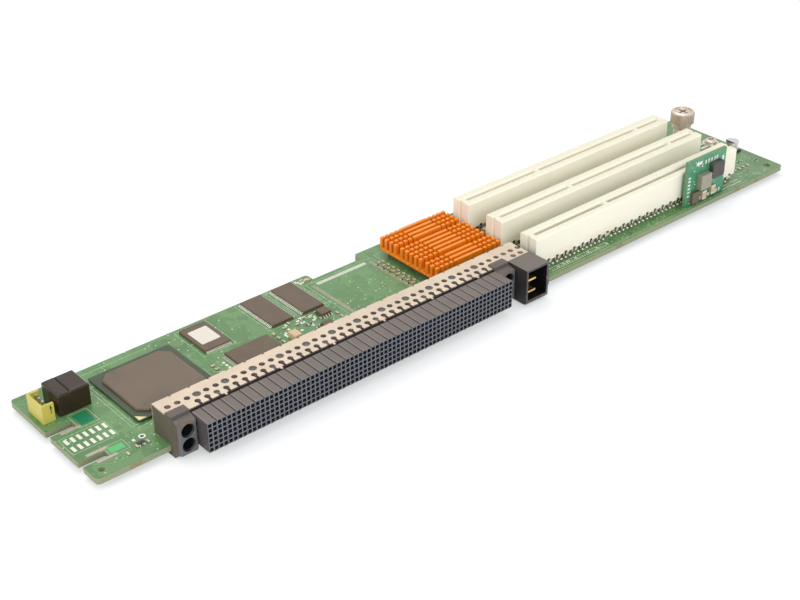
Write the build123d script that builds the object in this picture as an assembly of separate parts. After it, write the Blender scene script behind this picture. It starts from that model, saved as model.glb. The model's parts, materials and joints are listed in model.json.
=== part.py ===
import os
from build123d import *

# All sizes in millimetres.  Heights start at the receptacle's underside,
# lengths at its left end and depths at its front face, until place() moves all
# to the resting plane under the middle of the card.

# Board
board_left = -37.0
board_end_margin = 28.46
board_back = 72.9
board_thick = 2.36
board_top = 0.45
front_edge_left = 12.1
front_edge_right = 5.8
corner_radius = 1.5
notch_left = 97.5
notch_width = 25.0
notch_depth = 4.5
clip_slot_length = 10.5
clip_slot_width = 3.5
clip_slot_front = 21.2
clip_slot_pitch = 22.4
tooling_hole = 2.4
tooling_inset_x = 4.2
tooling_inset_y = 4.1
corner_hole = 3.2
corner_inset_x = 5.2
corner_inset_y = 5.0
fit_gap = 0.1
fork_inset = 2.0
prism_sides = 6

# Receptacle with its wafers
columns = 72
rows = 6
grid_pitch = 2.0
cavity = 1.3
cavity_depth = 3.0
columns_per_wafer = 2
wafer_gap = 0.06
wafer_top_depth = 9.9
groove_depth = 0.9
plate_drop = 0.1
wafer_back = 22.2

# Stiffener plate over the wafers
plate_thick = 0.5
plate_front = 11.2
plate_back = 22.8
hole_pitch = 4.0
hole_small = 2.0
hole_large = 3.1
hole_row_back = 17.1
hole_row_front = 13.4
hole_first_back = -4.7
hole_first_front = 5.3
notch_opening = 1.9
large_every = 3
tongue_every = 6
tongue_first = 2
peg_gap = 0.15
tongue_width = 1.0
tongue_length = 1.1

# Guide modules at both ends of the wafers
guide_width = 7.8
guide_front = 6.0
guide_low = -1.4
shoulder_drop = 0.7
crown_rise = 1.0
crown_front = 10.4
crown_back = 14.2
guide_hole = 4.5
guide_hole_low = 2.2
guide_hole_high = 8.1
guide_hole_depth = 6.0
guide_edge = 0.7
guide_brow = 0.9
guide_slope = 0.5
guide_chin = 1.5
guide_heel = 4.0
foot_height = 2.0

# Power module right of the right guide
power_width = 12.2
power_rise = 0.9
power_wall = 0.9
power_floor = 2.8
power_mouth_depth = 9.0
power_chin = 1.6
power_heel = 3.0
power_round = 2.0
blade_inset = 0.9
blade_thick = 0.8
blade_width = 5.2
blade_low = 1.0
blade_spacing = 5.3
blade_setback = 2.0

# Card sockets
socket_count = 3
socket_pitch = 20.32
socket_gap = 4.62
socket_first = 16.53
socket_length = 128.02
socket_width = 9.4
socket_height = 15.5
socket_lift = 3.05
socket_core = 5.4
socket_lip = 0.5
card_slot_width = 1.9
card_slot_depth = 8.9
slot_end_wall = 2.7
slot_flare = 0.7
key_first = 44.96
key_second = 109.73
key_width = 1.8
end_groove_width = 1.5
end_groove_depth = 0.8
peg_bore = 2.6
peg_inset = 6.5
contact_pitch = 5.08
contact_first = 3.7
contact_wide = 0.6
contact_thick = 0.3

# Finned heat sink on the bridge chip
sink_size = 35.6
sink_left = 130.8
sink_front = 29.8
sink_base = 1.3
sink_height = 6.2
fin_rows = 12
fin_group_front = 3
fin_group_middle = 5
fin_thick = 1.45
channel = 1.3
pin_columns = 4
pin_long = 1.8
pin_pitch = 2.75
bridge_size = 31.0
bridge_height = 2.35
pad_thick = 0.2
pad_inset = 3.0

# Ball grid controller
controller_left = -9.4
controller_front = 30.0
controller_size = 35.0
ball_height = 0.5
ball_radius = 0.38
ball_count = 4
ball_pitch = 9.0
substrate_thick = 0.6
cap_size = 30.0
cap_thick = 1.15
cap_chamfer = 3.6
cap_bevel = 0.5

# Moulded chips
chip_taper = 8.0
flash_x = 39.3
flash_y = 60.8
flash_long = 18.4
flash_wide = 12.0
memory_x = 68.1
memory_y = 60.3
memory_long = 22.2
memory_wide = 10.16
memory_pitch = 15.0
thin_height = 1.1
logic_x = 47.4
logic_y = 38.4
logic_long = 20.0
logic_wide = 14.0
logic_height = 1.7
small_long = 4.6
small_wide = 4.9
small_height = 1.6
small_x = 84.4
small_y = 44.6
small_step = 4.2
small_setback = 8.6

# Two-terminal chip parts
chip_long = 1.6
chip_wide = 0.85
chip_high = 0.6
sink_row_gap = 4.6
sink_row_inset = 9.0
sink_row_pitch = 3.1
sink_row_count = 8
logic_row_gap = 3.0
logic_row_pitch = 3.4
logic_row_count = 3
edge_row_x = -17.0
edge_row_y = 19.0
edge_row_pitch = 2.2
edge_row_count = 3
end_row_gap = 7.0
end_row_pitch = 3.0
end_row_count = 4
lane_row_inset = 30.0
lane_row_pitch = 24.0
lane_row_count = 4
tantalum_x = 65.6
tantalum_y = 38.0
tantalum_long = 3.5
tantalum_wide = 4.8
tantalum_high = 2.6
tantalum_bevel = 0.4
lane_tantalum_inset = 8.6
lane_tantalum_shift = 2.0

# Black filter block and the locking header
block_left = -28.4
block_front = 51.6
block_wide = 12.8
block_deep = 12.0
block_high = 9.1
block_bevel = 0.6
seam_inset = 4.8
seam_width = 0.4
seam_depth = 0.3
header_left = -35.2
header_front = 51.3
header_wide = 4.9
header_deep = 10.9
header_high = 7.7
header_floor = 3.0
header_wall = 0.8
latch_width = 0.7
latch_inset = 0.9
latch_rim = 1.0
header_pins = 4
pin_pitch = 2.54
pin_square = 0.64
pin_drop = 0.8

# Upright regulator board
regulator_inset = 38.44
regulator_wide = 26.0
regulator_high = 21.5
regulator_thick = 1.6
regulator_front = 8.4
regulator_lift = 0.2
regulator_pins = 10
regulator_pin_thick = 0.8
regulator_pin_high = 2.2
inductor_left = 14.8
inductor_low = 9.6
inductor_wide = 8.0
inductor_high = 7.6
inductor_thick = 2.4
inductor_corner = 0.9
capacitor_left = 6.6
capacitor_low = 7.0
capacitor_wide = 6.8
capacitor_high = 7.2
capacitor_thick = 3.2
driver_left = 3.4
driver_low = 0.9
driver_wide = 4.6
driver_high = 5.3
driver_thick = 1.5
trim_left = 10.4
trim_low = 0.8
trim_wide = 2.8
trim_high = 3.8
trim_thick = 1.3
trim_step = 6.0

# Captive thumbscrew and its post
thumb_gap = 6.26
thumb_y = 49.1
knob_radius = 5.6
knob_height = 8.0
knob_top = 20.0
knob_bevel = 0.8
neck_radius = 1.6
tip_radius = 2.0
thumb_clearance = 0.3
post_radius = 3.6
post_step = 1.0
drive_width = 1.2
drive_depth = 1.4

# Small parts
can_inset = 5.7
can_y = 31.2
can_radius = 3.0
can_height = 5.4
can_base = 0.8
can_rim = 0.2
can_corner = 1.0
screw_inset = 5.8
screw_y = 43.5
screw_head_radius = 2.9
screw_head_height = 1.9
screw_bevel = 0.7
screw_shank = 1.5
screw_reach = 1.0

board_bottom = board_top - board_thick
wafer_top = rows * grid_pitch
wafer_count = columns // columns_per_wafer
wafer_width = columns_per_wafer * grid_pitch
grid_right = columns * grid_pitch
fork_back = wafer_back - fork_inset
plate_left = -guide_width
power_left = grid_right + guide_width + 2 * fit_gap
power_right = power_left + power_width
plate_right = power_right
step_x = power_right + 2 * fit_gap
socket_left = power_right + socket_gap
socket_right = socket_left + socket_length
board_right = socket_right + board_end_margin
board_length = board_right - board_left
regulator_left = socket_right - regulator_inset
thumb_x = socket_right + thumb_gap
can_x = board_right - can_inset
screw_x = board_right - screw_inset
key_centres = (socket_left + key_first, socket_left + key_second)
rest_level = board_bottom - foot_height - fit_gap
socket_under = board_top + socket_lift
socket_top = board_top + socket_height
plate_under = wafer_top - plate_drop
plate_top = plate_under + plate_thick
guide_shoulder = wafer_top - shoulder_drop
guide_crown = wafer_top + crown_rise
power_top = wafer_top + power_rise
sink_bottom = board_top + bridge_height + pad_thick
middle_x = board_left + board_length / 2
middle_y = board_back / 2


def place(shape):
    return Pos(-middle_x, -middle_y, -rest_level) * shape


def save(name, shape):
    placed = place(shape)
    placed.label = name
    export_step(placed, f"parts/{name}.step")


def block(x0, x1, y0, y1, z0, z1):
    size = (x1 - x0, y1 - y0, z1 - z0)
    middle = ((x0 + x1) / 2, (y0 + y1) / 2, (z0 + z1) / 2)
    return Pos(*middle) * Box(*size)


def rod(x, y, z0, z1, radius):
    return Pos(x, y, (z0 + z1) / 2) * Cylinder(radius, z1 - z0)


def prism(x, y, z0, z1, radius):
    # a small round thing or hole, given flat sides to save faces
    flat = RegularPolygon(radius, prism_sides)
    return extrude(Pos(x, y, z0) * flat, amount=z1 - z0)


def side_profile(points, x0, x1):
    # points are (y, z) pairs, drawn in the YZ plane and run along X
    face = make_face(Polyline(*[(x0, y, z) for y, z in points], close=True))
    return extrude(face, amount=x1 - x0, dir=(1, 0, 0))


def plan_profile(points, z0, z1):
    face = make_face(Polyline(*[(x, y, z0) for x, y in points], close=True))
    return extrude(face, amount=z1 - z0, dir=(0, 0, 1))


def peg_places():
    return [socket_left + peg_inset, socket_right - peg_inset]


def socket_middle(index):
    return socket_first + index * socket_pitch


def make_board():
    outline = [
        (board_left, front_edge_left),
        (step_x, front_edge_left),
        (step_x, front_edge_right),
        (board_right, front_edge_right),
        (board_right, board_back),
        (notch_left + notch_width, board_back),
        (notch_left + notch_width, board_back - notch_depth),
        (notch_left, board_back - notch_depth),
        (notch_left, board_back),
        (board_left, board_back),
    ]
    board = plan_profile(outline, board_bottom, board_top)
    corners = board.edges().filter_by(Axis.Z).filter_by(
        lambda e: e.center().X in (board_left, board_right) or e.center().Y > board_back - 0.01
    )
    board = fillet(corners, corner_radius)
    cuts = []
    for index in range(2):
        front = clip_slot_front + index * clip_slot_pitch
        left = board_left - corner_radius
        right = board_left + clip_slot_length
        cuts.append(block(left, right, front, front + clip_slot_width, board_bottom, board_top))
    for index in range(socket_count):
        for x in peg_places():
            y = socket_middle(index)
            cuts.append(prism(x, y, board_bottom, board_top, peg_bore / 2))
    holes = (
        (board_left + tooling_inset_x, front_edge_left + tooling_inset_y, tooling_hole / 2),
        (board_right - corner_inset_x, front_edge_right + corner_inset_y, corner_hole / 2),
        (thumb_x, thumb_y, post_radius - post_step + fit_gap),
        (screw_x, screw_y, screw_shank + fit_gap),
    )
    for x, y, radius in holes:
        cuts.append(rod(x, y, board_bottom, board_top, radius))
    return board - cuts


def header_pin_places():
    span = (header_pins - 1) * pin_pitch
    first = header_front + (header_deep - span) / 2
    return [first + index * pin_pitch for index in range(header_pins)]


def make_funnel():
    # the four-sided lead-in of one cavity, its mouth in the front face
    half = cavity / 2
    rim = [(-half, 0, -half), (half, 0, -half), (half, 0, half), (-half, 0, half)]
    sides = [make_face(Polyline(*rim, close=True))]
    for index, corner in enumerate(rim):
        sides.append(make_face(Polyline(corner, rim[index - 1], (0, cavity_depth, 0), close=True)))
    return Solid(Shell(sides))


def make_wafer():
    # one moulded wafer: cavities in front, a groove behind, a seat for the plate
    width = wafer_width - wafer_gap
    profile = [
        (0, 0),
        (0, wafer_top),
        (wafer_top_depth, wafer_top),
        (wafer_top_depth, wafer_top - groove_depth),
        (plate_front, wafer_top - groove_depth),
        (plate_front, plate_under),
        (wafer_back, plate_under),
        (wafer_back, board_top),
        (front_edge_left - fit_gap, board_top),
        (front_edge_left - fit_gap, 0),
    ]
    wafer = side_profile(profile, wafer_gap / 2, wafer_gap / 2 + width)
    funnel = make_funnel()
    pockets = []
    for column in range(columns_per_wafer):
        for row in range(rows):
            x = (column + 0.5) * grid_pitch
            z = (row + 0.5) * grid_pitch
            pockets.append(Pos(x, 0, z) * funnel)
    return wafer - pockets


def back_holes():
    count = int((plate_right - hole_first_back) // hole_pitch) + 1
    return [hole_first_back + index * hole_pitch for index in range(count)]


def is_large(x):
    step = round((x - hole_first_back) / hole_pitch)
    inside = wafer_width < x < grid_right - wafer_width / 2
    return inside and step % large_every == 0


def front_holes():
    count = int((grid_right - hole_first_front) // hole_pitch) + 1
    return [hole_first_front + index * hole_pitch for index in range(count)]


def is_tongue(index):
    return index % tongue_every == tongue_first


def make_wafers():
    # every third wafer carries a post that stands in a large plate hole
    wafer = make_wafer()
    solids = []
    for index in range(wafer_count):
        left = index * wafer_width
        solid = Pos(left, 0, 0) * wafer
        for x in back_holes():
            if is_large(x) and left < x < left + wafer_width:
                radius = hole_large / 2 - peg_gap
                solid += prism(x, hole_row_back, plate_under, plate_top - wafer_gap, radius)
        solids += solid.solids()
    return Compound(solids)


def make_plate():
    top = block(plate_left, plate_right, plate_front, plate_back, plate_under, plate_top)
    flange_low = board_top + fit_gap
    flange_front = plate_back - plate_thick
    plate = top + block(plate_left, plate_right, flange_front, plate_back, flange_low, plate_top)
    cuts = []
    for x in back_holes():
        size = hole_large if is_large(x) else hole_small
        cuts.append(prism(x, hole_row_back, plate_under, plate_top, size / 2))
    for x in front_holes():
        left = x - notch_opening / 2
        back = hole_row_front + hole_small / 2
        cuts.append(block(left, left + notch_opening, plate_front, back, plate_under, plate_top))
    for left in (plate_left - fit_gap, grid_right - fit_gap):
        right = left + guide_width + 2 * fit_gap
        back = crown_back + fit_gap
        cuts.append(block(left, right, plate_front, back, plate_under, plate_top))
    for index, x in enumerate(front_holes()):
        if is_tongue(index):
            middle = x + hole_pitch / 2
            left = middle - tongue_width / 2
            plate += block(left, left + tongue_width, plate_front - tongue_length, plate_front,
                           plate_under, plate_top)
    return plate - cuts


def guide_profile():
    # seen from the side: nose, shoulder, crown before the plate, fork round the board
    under = board_bottom - fit_gap
    return [
        (guide_front, guide_low),
        (guide_front, guide_shoulder - guide_edge),
        (guide_front + guide_brow, guide_shoulder),
        (crown_front, guide_shoulder + guide_slope),
        (crown_front, guide_crown),
        (crown_back, guide_crown),
        (crown_back, plate_under),
        (wafer_back, plate_under),
        (wafer_back, board_top),
        (front_edge_left - fit_gap, board_top),
        (front_edge_left - fit_gap, under),
        (fork_back, under),
        (fork_back, rest_level),
        (guide_front + guide_heel, rest_level),
        (guide_front + guide_chin, guide_low),
    ]


def make_guide(left):
    right = left + guide_width - fit_gap
    guide = side_profile(guide_profile(), left, right)
    nose = guide.edges().filter_by(Axis.Z).sort_by(Axis.Y)[:2]
    guide = chamfer(nose, guide_edge)
    middle = (left + right) / 2
    for height in (guide_hole_low, guide_hole_high):
        bore = Cylinder(guide_hole / 2, guide_hole_depth)
        guide -= Pos(middle, guide_front + guide_hole_depth / 2, height) * Rot(90, 0, 0) * bore
    return guide


def make_power_module():
    profile = [
        (0, rest_level + power_chin),
        (0, power_top),
        (plate_front - fit_gap, power_top),
        (plate_front - fit_gap, plate_under),
        (wafer_back, plate_under),
        (wafer_back, board_top),
        (front_edge_left - fit_gap, board_top),
        (front_edge_left - fit_gap, board_bottom - fit_gap),
        (fork_back, board_bottom - fit_gap),
        (fork_back, rest_level),
        (power_heel, rest_level),
    ]
    shell = side_profile(profile, power_left, power_right)
    low = shell.edges().filter_by(Axis.Y).sort_by(Axis.Z)[:2].sort_by(Axis.X)[0]
    shell = fillet(low, power_round)
    floor = rest_level + power_floor
    mouth = block(power_left + power_wall, power_right - power_wall, 0, power_mouth_depth,
                  floor, power_top - power_wall)
    return shell - mouth


def make_blades():
    left = power_left + power_wall + blade_inset
    blades = []
    for index in range(2):
        low = blade_low + index * blade_spacing
        blades.append(block(left, left + blade_width, blade_setback, power_mouth_depth,
                            low, low + blade_thick))
    return Compound(blades)


def make_socket(index):
    middle = socket_middle(index)
    half = socket_width / 2
    core = socket_core / 2
    profile = [
        (middle - half, socket_under),
        (middle - half, socket_top - socket_lip),
        (middle - half + socket_lip, socket_top),
        (middle + half - socket_lip, socket_top),
        (middle + half, socket_top - socket_lip),
        (middle + half, socket_under),
        (middle + core, socket_under),
        (middle + core, board_top),
        (middle - core, board_top),
        (middle - core, socket_under),
    ]
    body = side_profile(profile, socket_left, socket_right)
    floor = socket_top - card_slot_depth
    groove = [
        (middle - card_slot_width / 2, floor),
        (middle - card_slot_width / 2, socket_top - slot_flare),
        (middle - card_slot_width / 2 - slot_flare, socket_top),
        (middle + card_slot_width / 2 + slot_flare, socket_top),
        (middle + card_slot_width / 2, socket_top - slot_flare),
        (middle + card_slot_width / 2, floor),
    ]
    start = socket_left + slot_end_wall
    for key in key_centres:
        body -= side_profile(groove, start, key - key_width / 2)
        start = key + key_width / 2
    body -= side_profile(groove, start, socket_right - slot_end_wall)
    for left in (socket_left, socket_right - end_groove_depth):
        body -= block(left, left + end_groove_depth, middle - end_groove_width / 2,
                      middle + end_groove_width / 2, socket_under, socket_top)
    for x in peg_places():
        body += prism(x, middle, rest_level, board_top, peg_bore / 2 - fit_gap)
    return body


def contact_places():
    # from the right end, with none behind a key
    count = int((socket_length - 2 * contact_first) // contact_pitch) + 1
    places = [socket_right - contact_first - step * contact_pitch for step in range(count)]
    return [x for x in places if min(abs(x - key) for key in key_centres) > key_width]


def make_contacts(index):
    # the row of legs that shows under the housing's front overhang
    y = socket_middle(index) - (socket_width / 2 + socket_core / 2) / 2
    legs = []
    for x in contact_places():
        legs.append(centred(x, y, contact_wide, contact_thick, board_top, socket_under))
    return Compound(legs)


def fin_lines():
    # twelve rows in groups of three, five and four with a wider channel between
    wide_after = (fin_group_front - 1, fin_group_front + fin_group_middle - 1)
    pitch = (sink_size - fin_thick - 2 * channel) / (fin_rows - 1)
    lines = []
    position = sink_front
    for row in range(fin_rows):
        lines.append(position)
        position += pitch
        if row in wide_after:
            position += channel
    return lines


def make_sink():
    top = sink_bottom + sink_height
    low = sink_bottom + sink_base
    right = sink_left + sink_size
    sink = block(sink_left, right, sink_front, sink_front + sink_size, sink_bottom, low)
    spans = []
    for column in range(pin_columns):
        spans.append((sink_left + column * pin_pitch, sink_left + column * pin_pitch + pin_long))
        spans.append((right - column * pin_pitch - pin_long, right - column * pin_pitch))
    spans.append((sink_left + pin_columns * pin_pitch, right - pin_columns * pin_pitch))
    fins = []
    for y in fin_lines():
        for start, stop in spans:
            fins.append(block(start, stop, y, y + fin_thick, low, top))
    return sink + fins


def centred(x, y, long, wide, low, high):
    return block(x - long / 2, x + long / 2, y - wide / 2, y + wide / 2, low, high)


def sink_middle():
    return sink_left + sink_size / 2, sink_front + sink_size / 2


def make_bridge():
    x, y = sink_middle()
    return centred(x, y, bridge_size, bridge_size, board_top, board_top + bridge_height)


def make_pad():
    x, y = sink_middle()
    low = board_top + bridge_height
    side = bridge_size - 2 * pad_inset
    return centred(x, y, side, side, low, low + pad_thick)


def controller_middle():
    return controller_left + controller_size / 2, controller_front + controller_size / 2


def make_balls():
    x, y = controller_middle()
    top = board_top + ball_height
    first = -(ball_count - 1) / 2 * ball_pitch
    balls = []
    for column in range(ball_count):
        for row in range(ball_count):
            ball_x = x + first + column * ball_pitch
            ball_y = y + first + row * ball_pitch
            balls.append(prism(ball_x, ball_y, board_top, top, ball_radius))
    return Compound(balls)


def make_substrate():
    x, y = controller_middle()
    low = board_top + ball_height
    return centred(x, y, controller_size, controller_size, low, low + substrate_thick)


def make_cap():
    x, y = controller_middle()
    low = board_top + ball_height + substrate_thick
    cap = centred(x, y, cap_size, cap_size, low, low + cap_thick)
    corners = cap.edges().filter_by(Axis.Z)
    cap = chamfer(corners, cap_chamfer)
    return chamfer(cap.faces().sort_by(Axis.Z)[-1].edges(), cap_bevel)


def make_chip(x, y, long, wide, height):
    # long runs along X; the sides lean in towards the top
    low = board_top + fit_gap
    base = Pos(x, y, low) * Rectangle(long, wide)
    return extrude(base, amount=height, taper=chip_taper)


def make_memory(index):
    x = memory_x + index * memory_pitch
    return make_chip(x, memory_y, memory_wide, memory_long, thin_height)


def make_small_chips():
    near = make_chip(small_x, small_y, small_wide, small_long, small_height)
    far = Pos(-small_step, -small_setback, 0) * near
    return Compound([near, far])


def chip_row(x, y, step_x, step_y, count, turned=False):
    # a row of two-terminal chip parts; turned ones lie along Y
    long, wide = (chip_wide, chip_long) if turned else (chip_long, chip_wide)
    parts = []
    for index in range(count):
        parts.append(centred(x + index * step_x, y + index * step_y, long, wide,
                             board_top, board_top + chip_high))
    return parts


def make_chip_parts():
    beside_sink = sink_left - sink_row_gap
    beside_logic = logic_x + logic_long / 2 + logic_row_gap
    beside_sockets = socket_right + end_row_gap
    parts = chip_row(beside_sink, sink_front + sink_row_inset, 0, sink_row_pitch, sink_row_count)
    parts += chip_row(beside_logic, logic_y, 0, logic_row_pitch, logic_row_count, True)
    parts += chip_row(edge_row_x, edge_row_y, edge_row_pitch, 0, edge_row_count, True)
    parts += chip_row(beside_sockets, socket_first, end_row_pitch, 0, end_row_count, True)
    for index in range(socket_count - 1):
        lane = socket_middle(index) + socket_pitch / 2
        parts += chip_row(socket_left + lane_row_inset, lane, lane_row_pitch, 0, lane_row_count, True)
    return Compound(parts)


def make_tantalums():
    # moulded two-terminal capacitors
    rear_lane = socket_first + socket_pitch * 1.5
    places = (
        (tantalum_x, tantalum_y),
        (socket_left + lane_tantalum_inset, rear_lane + lane_tantalum_shift),
    )
    bodies = []
    for x, y in places:
        body = centred(x, y, tantalum_long, tantalum_wide, board_top, board_top + tantalum_high)
        bodies.append(chamfer(body.faces().sort_by(Axis.Z)[-1].edges(), tantalum_bevel))
    return Compound(bodies)


def make_filter_block():
    top = board_top + block_high
    back = block_front + block_deep
    body = block(block_left, block_left + block_wide, block_front, back, board_top, top)
    body = chamfer(body.faces().sort_by(Axis.Z)[-1].edges(), block_bevel)
    seam = block_left + seam_inset
    return body - block(seam, seam + seam_width, block_front, back, top - seam_depth, top)


def make_header():
    low = board_top
    right = header_left + header_wide
    back = header_front + header_deep
    shroud = block(header_left, right, header_front, back, low, low + header_floor)
    shroud += block(header_left, header_left + header_wall, header_front, back, low, low + header_high)
    for y0, y1 in ((header_front, header_front + header_wall), (back - header_wall, back)):
        shroud += block(header_left, right, y0, y1, low, low + header_high)
    slot = right - latch_inset - latch_width
    return shroud - block(slot, slot + latch_width, header_front, header_front + header_wall,
                          low + header_floor, low + header_high - latch_rim)


def make_header_pins():
    x = header_left + header_wide / 2 + header_wall / 2
    low = board_top + header_floor
    pins = []
    for y in header_pin_places():
        pins.append(centred(x, y, pin_square, pin_square, low, board_top + header_high - pin_drop))
    return Compound(pins)


def make_regulator_board():
    low = board_top + regulator_lift
    right = regulator_left + regulator_wide
    back = regulator_front + regulator_thick
    return block(regulator_left, right, regulator_front, back, low, low + regulator_high)


def make_regulator_pins():
    # soldered behind the upright board and into the card
    step = regulator_wide / (regulator_pins + 1)
    y = regulator_front + regulator_thick + regulator_pin_thick / 2
    top = board_top + regulator_pin_high
    pins = []
    for index in range(regulator_pins):
        x = regulator_left + step * (index + 1)
        pins.append(centred(x, y, pin_square, regulator_pin_thick, board_top, top))
    return Compound(pins)


def on_regulator(left, low, wide, high, thick):
    # a part on the upright board's front, placed from its lower left corner
    x = regulator_left + left
    z = board_top + regulator_lift + low
    return block(x, x + wide, regulator_front - thick, regulator_front, z, z + high)


def make_inductor():
    body = on_regulator(inductor_left, inductor_low, inductor_wide, inductor_high, inductor_thick)
    return chamfer(body.edges().filter_by(Axis.Y), inductor_corner)


def make_regulator_capacitor():
    return on_regulator(capacitor_left, capacitor_low, capacitor_wide, capacitor_high, capacitor_thick)


def make_regulator_chip():
    return on_regulator(driver_left, driver_low, driver_wide, driver_high, driver_thick)


def make_regulator_small():
    first = on_regulator(trim_left, trim_low, trim_wide, trim_high, trim_thick)
    second = Pos(trim_step, 0, trim_low) * first
    return Compound([first, second])


def make_post():
    # pressed into the board and bored for the screw's neck
    top = knob_top - knob_height - thumb_clearance
    post = rod(thumb_x, thumb_y, board_top, top, post_radius)
    post += rod(thumb_x, thumb_y, board_bottom, board_top, post_radius - post_step)
    return post - rod(thumb_x, thumb_y, board_bottom, top, neck_radius + thumb_clearance)


def make_thumbscrew():
    # the tip is wider than the post's bore, which keeps the screw captive
    low = knob_top - knob_height
    tip_top = board_bottom - thumb_clearance
    knob = rod(thumb_x, thumb_y, low, knob_top, knob_radius)
    knob = chamfer(knob.edges().sort_by(Axis.Z)[-1], knob_bevel)
    knob += rod(thumb_x, thumb_y, tip_top, low, neck_radius)
    knob += rod(thumb_x, thumb_y, rest_level + fit_gap, tip_top, tip_radius)
    return knob - centred(thumb_x, thumb_y, knob_radius, drive_width, knob_top - drive_depth, knob_top)


def make_can():
    side = 2 * (can_radius + can_rim)
    shelf = board_top + can_base
    base = centred(can_x, can_y, side, side, board_top, shelf)
    base = chamfer(base.edges().filter_by(Axis.Z).sort_by(Axis.X)[:2], can_corner)
    return base + rod(can_x, can_y, shelf, board_top + can_height, can_radius)


def make_board_screw():
    head = rod(screw_x, screw_y, board_top, board_top + screw_head_height, screw_head_radius)
    head = chamfer(head.edges().sort_by(Axis.Z)[-1], screw_bevel)
    return head + rod(screw_x, screw_y, board_bottom - screw_reach, board_top, screw_shank)


def main():
    os.makedirs("parts", exist_ok=True)
    save("riser_board", make_board())
    save("receptacle_wafers", make_wafers())
    save("stiffener_plate", make_plate())
    save("left_guide", make_guide(-guide_width))
    save("right_guide", make_guide(grid_right + fit_gap))
    save("power_module", make_power_module())
    save("power_blades", make_blades())
    names = ("front", "middle", "rear")
    for index in range(socket_count):
        save(f"card_socket_{names[index]}", make_socket(index))
        save(f"socket_contacts_{names[index]}", make_contacts(index))
    save("heat_sink", make_sink())
    save("bridge_chip", make_bridge())
    save("thermal_pad", make_pad())
    save("controller_balls", make_balls())
    save("controller_substrate", make_substrate())
    save("controller_cap", make_cap())
    save("flash_chip", make_chip(flash_x, flash_y, flash_wide, flash_long, thin_height))
    save("memory_left", make_memory(0))
    save("memory_right", make_memory(1))
    save("logic_chip", make_chip(logic_x, logic_y, logic_long, logic_wide, logic_height))
    save("small_chips", make_small_chips())
    save("chip_parts", make_chip_parts())
    save("tantalum_capacitors", make_tantalums())
    save("filter_block", make_filter_block())
    save("header_shroud", make_header())
    save("header_pins", make_header_pins())
    save("regulator_board", make_regulator_board())
    save("regulator_pins", make_regulator_pins())
    save("regulator_inductor", make_inductor())
    save("regulator_capacitor", make_regulator_capacitor())
    save("regulator_chip", make_regulator_chip())
    save("regulator_small_parts", make_regulator_small())
    save("thumbscrew_post", make_post())
    save("thumbscrew", make_thumbscrew())
    save("can_capacitor", make_can())
    save("board_screw", make_board_screw())


main()
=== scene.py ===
import json
import math
import random
import bpy
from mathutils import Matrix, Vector

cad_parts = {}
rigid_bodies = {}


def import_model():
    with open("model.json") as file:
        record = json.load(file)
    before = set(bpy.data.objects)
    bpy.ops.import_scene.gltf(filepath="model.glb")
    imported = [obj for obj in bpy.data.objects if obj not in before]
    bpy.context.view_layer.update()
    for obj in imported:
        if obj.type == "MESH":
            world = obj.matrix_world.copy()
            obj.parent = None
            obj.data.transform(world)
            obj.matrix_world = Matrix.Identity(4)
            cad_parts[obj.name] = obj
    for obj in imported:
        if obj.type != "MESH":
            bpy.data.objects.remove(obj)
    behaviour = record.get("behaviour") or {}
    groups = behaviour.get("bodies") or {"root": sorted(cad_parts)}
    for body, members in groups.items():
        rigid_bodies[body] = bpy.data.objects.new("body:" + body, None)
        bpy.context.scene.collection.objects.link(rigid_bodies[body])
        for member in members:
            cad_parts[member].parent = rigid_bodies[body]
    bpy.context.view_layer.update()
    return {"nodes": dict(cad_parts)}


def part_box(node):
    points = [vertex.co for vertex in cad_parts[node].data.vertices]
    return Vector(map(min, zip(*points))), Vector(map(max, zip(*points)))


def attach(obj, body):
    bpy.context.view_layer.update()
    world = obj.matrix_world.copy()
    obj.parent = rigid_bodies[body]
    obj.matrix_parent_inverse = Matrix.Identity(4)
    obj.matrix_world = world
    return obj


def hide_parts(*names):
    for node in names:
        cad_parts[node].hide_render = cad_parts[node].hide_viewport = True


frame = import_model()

nodes = frame["nodes"]


# Camera, floor and lights.  The card lies on a pale table in soft light from
# above and from the camera's side, seen from its front left corner.
view_place = (-0.35497, -0.38684, 0.31269)
view_turn = (58.4398, 0.4976, -40.5776)
view_lens = 66.47

camera_data = bpy.data.cameras.new("camera")
camera_data.lens = view_lens
camera_data.sensor_width = 36.0
camera_data.clip_start = 0.01
camera = bpy.data.objects.new("camera", camera_data)
camera.location = view_place
camera.rotation_euler = [math.radians(angle) for angle in view_turn]
bpy.context.collection.objects.link(camera)
bpy.context.scene.camera = camera
bpy.context.scene.view_settings.view_transform = "Standard"


def soft_lamp(name, place, target, size, watts, tint=(1, 1, 1)):
    lamp = bpy.data.lights.new(name, "AREA")
    lamp.shape = "SQUARE"
    lamp.size = size
    lamp.energy = watts
    lamp.color = tint
    holder = bpy.data.objects.new(name, lamp)
    holder.location = place
    aim = Vector(target) - Vector(place)
    holder.rotation_euler = aim.to_track_quat("-Z", "Y").to_euler()
    bpy.context.collection.objects.link(holder)


soft_lamp("lamp_above", (0.1, 0.25, 0.9), (0, 0, 0), 0.7, 2.6)
soft_lamp("lamp_front", (-0.35, -0.9, 0.55), (0, 0, 0), 0.6, 5.6, (0.9, 0.955, 1))
soft_lamp("lamp_left", (-0.95, 0.05, 0.45), (0, 0, 0), 0.5, 2.6, (1, 0.93, 0.84))


def maths(operation):
    """A method that works on a Shade, and on a second one or a number, with a Math node."""
    def work(shade, *others):
        return shade.node("Math", {"operation": operation}, dict(enumerate((shade, *others))))
    return work


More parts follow.
